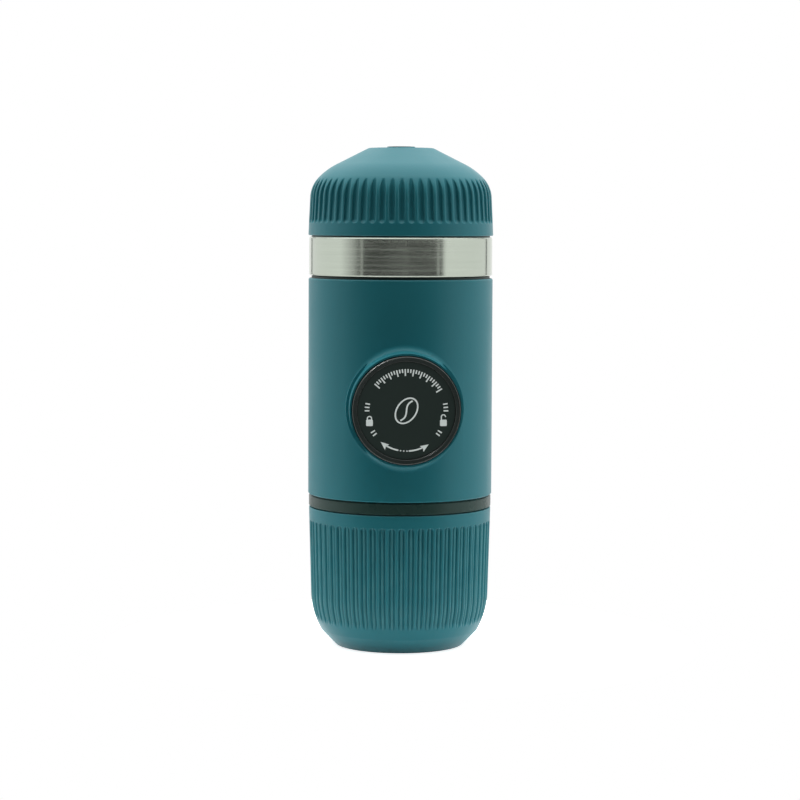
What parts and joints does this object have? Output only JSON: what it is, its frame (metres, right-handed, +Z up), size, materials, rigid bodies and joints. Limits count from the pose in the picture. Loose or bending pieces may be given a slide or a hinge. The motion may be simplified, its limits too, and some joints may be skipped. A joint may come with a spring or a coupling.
{
  "type": "portable espresso maker",
  "caption": "Hand-pumped travel espresso maker: ribbed water tank, body with a round push knob, steel band and a domed cup that doubles as the lid.",
  "frame": {"origin": "centre of the water tank's flat base", "axes": "+Z up along the maker's axis, the pump knob faces -Y, +X to the right seen from the front"},
  "size_m": [0.0622, 0.0701, 0.168],
  "materials": {
    "teal_plastic": "satin moulded",
    "black_gloss_plastic": "semi-gloss moulded",
    "black_satin_plastic": "satin moulded",
    "knob_print": "satin disc with pale print",
    "dark_nylon": "matte moulded",
    "brushed_steel": "brushed round",
    "plain_steel": "plain bright",
    "grey_silicone": "matte"
  },
  "bodies": {
    "tank": {"water_tank": "teal_plastic"},
    "tank_seal": {"tank_gasket": "grey_silicone"},
    "main_body": {"lower_collar": "black_gloss_plastic", "inlet_filter": "brushed_steel", "vent_valve": "grey_silicone", "body_shell": "teal_plastic", "upper_frame": "black_satin_plastic", "frame_screws": "plain_steel", "shower_screen": "brushed_steel", "shower_screw": "plain_steel", "pump_barrel": "dark_nylon", "inlet_fitting": "dark_nylon", "outlet_fitting": "dark_nylon", "inlet_spring": "plain_steel", "outlet_spring": "plain_steel", "inlet_tube": "grey_silicone", "outlet_tube": "grey_silicone", "basket_gasket": "grey_silicone", "return_spring": "plain_steel"},
    "basket": {"filter_basket": "brushed_steel", "head_gasket": "grey_silicone"},
    "outlet_head": {"outlet_head": "black_satin_plastic", "steel_band": "brushed_steel", "spout_tip": "black_satin_plastic", "cup_oring": "grey_silicone"},
    "cup": {"cup": "teal_plastic"},
    "piston": {"piston_rod": "dark_nylon", "piston_seal": "grey_silicone"},
    "knob": {"pump_knob": "black_satin_plastic", "knob_face": "knob_print", "knob_screw": "plain_steel"},
    "inlet_ball": {"inlet_ball": "plain_steel"},
    "outlet_ball": {"outlet_ball": "plain_steel"}
  },
  "joints": [
    {"name": "body_lift", "type": "slide", "parent": "tank", "child": "tank_seal", "axis": [0, 0, 1], "range_m": [0, 0.018]},
    {"name": "body_turn", "type": "hinge", "parent": "tank_seal", "child": "main_body", "pos_m": [0, 0, 0.0468], "axis": [0, 0, 1], "range_deg": [0, 540]},
    {"name": "basket_lift", "type": "slide", "parent": "main_body", "child": "basket", "axis": [0, 0, 1], "range_m": [0, 0.018]},
    {"name": "head_turn", "type": "hinge", "parent": "basket", "child": "outlet_head", "pos_m": [0, 0, 0.1249], "axis": [0, 0, 1], "range_deg": [0, 540]},
    {"name": "cup_lift", "type": "slide", "parent": "outlet_head", "child": "cup", "axis": [0, 0, 1], "range_m": [0, 0.04]},
    {"name": "pump_stroke", "type": "slide", "parent": "main_body", "child": "piston", "axis": [0, -1, 0], "range_m": [0, 0.018], "deforming": ["return_spring"]},
    {"name": "knob_turn", "type": "hinge", "parent": "piston", "child": "knob", "pos_m": [0, 0, 0.082], "axis": [0, -1, 0], "range_deg": [0, 45]},
    {"name": "inlet_ball_lift", "type": "slide", "parent": "main_body", "child": "inlet_ball", "axis": [0, 0, 1], "range_m": [0, 0.0012], "stiffness_N_per_m": 20, "springref_m": -0.002, "deforming": ["inlet_spring"]},
    {"name": "outlet_ball_lift", "type": "slide", "parent": "main_body", "child": "outlet_ball", "axis": [0, 0, 1], "range_m": [0, 0.0012], "stiffness_N_per_m": 20, "springref_m": -0.002, "deforming": ["outlet_spring"]}
  ],
  "couplings": [
    {"joint": "body_lift", "follows": "body_turn", "m_per_rad": 0.0019099},
    {"joint": "basket_lift", "follows": "head_turn", "m_per_rad": 0.0019099}
  ]
}
